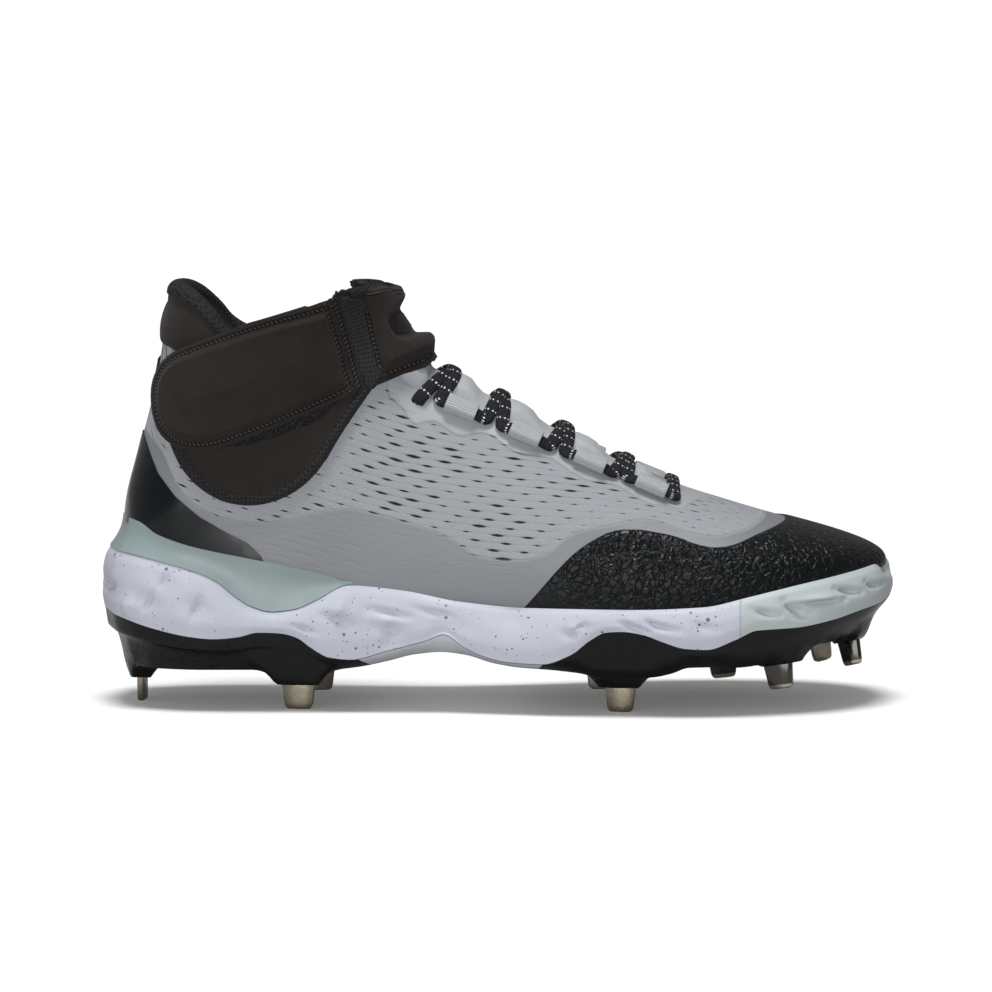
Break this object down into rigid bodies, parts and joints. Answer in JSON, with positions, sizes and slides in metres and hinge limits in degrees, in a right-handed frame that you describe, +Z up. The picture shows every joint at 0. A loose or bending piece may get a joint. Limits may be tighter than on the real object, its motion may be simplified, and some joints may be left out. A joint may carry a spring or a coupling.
{
  "type": "baseball cleat",
  "caption": "Mid cut baseball cleat for the right foot with a mesh upper, ankle strap, padded tongue panel, speckled midsole and metal studs under a moulded plate.",
  "frame": {"origin": "on the plane of the stud tips, under the middle of the shoe's bounding box", "axes": "+X towards the toe, +Y towards the inner side of the right foot, +Z up"},
  "size_m": [0.3, 0.107, 0.1595],
  "materials": {
    "foam": "satin speckled foam",
    "clip": "satin moulded plastic",
    "plate": "black moulded plastic",
    "arch": "satin moulded plastic",
    "stud": "warm toned polished steel",
    "knit": "engineered mesh",
    "insole": "brushed fabric over foam",
    "film": "thin glossy overlay",
    "neoprene": "padded knit fabric",
    "binding": "knit and webbing binding",
    "webbing": "ribbed webbing",
    "lace": "flat oval cord with flecks"
  },
  "bodies": {
    "root": {"midsole": "foam", "heel_clip": "clip", "heel_plate": "plate", "forefoot_plate": "plate", "arch_plate": "arch", "stud_heel_rear": "stud", "stud_heel_outer": "stud", "stud_heel_inner": "stud", "stud_ball_outer": "stud", "stud_ball_inner": "stud", "stud_front_outer": "stud", "stud_front_inner": "stud", "stud_toe_outer": "stud", "stud_toe_inner": "stud", "upper": "knit", "tongue": "knit", "insole": "insole", "toe_cap": "film", "heel_counter": "film", "tongue_label": "film", "collar_lining": "neoprene", "ankle_panel_outer": "neoprene", "ankle_panel_inner": "neoprene", "strap": "neoprene", "tongue_panel": "neoprene", "heel_pull": "binding", "collar_binding": "binding", "panel_binding_outer": "binding", "panel_binding_inner": "binding", "strap_link": "binding", "lace_loop_outer_1": "webbing", "lace_loop_inner_1": "webbing", "lace_loop_outer_2": "webbing", "lace_loop_inner_2": "webbing", "lace_loop_outer_3": "webbing", "lace_loop_inner_3": "webbing", "lace_loop_outer_4": "webbing", "lace_loop_inner_4": "webbing", "lace_crossing_1": "lace", "lace_crossing_2": "lace", "lace_crossing_3": "lace", "lace_crossing_4": "lace", "lace_bar": "lace"}
  },
  "joints": []
}
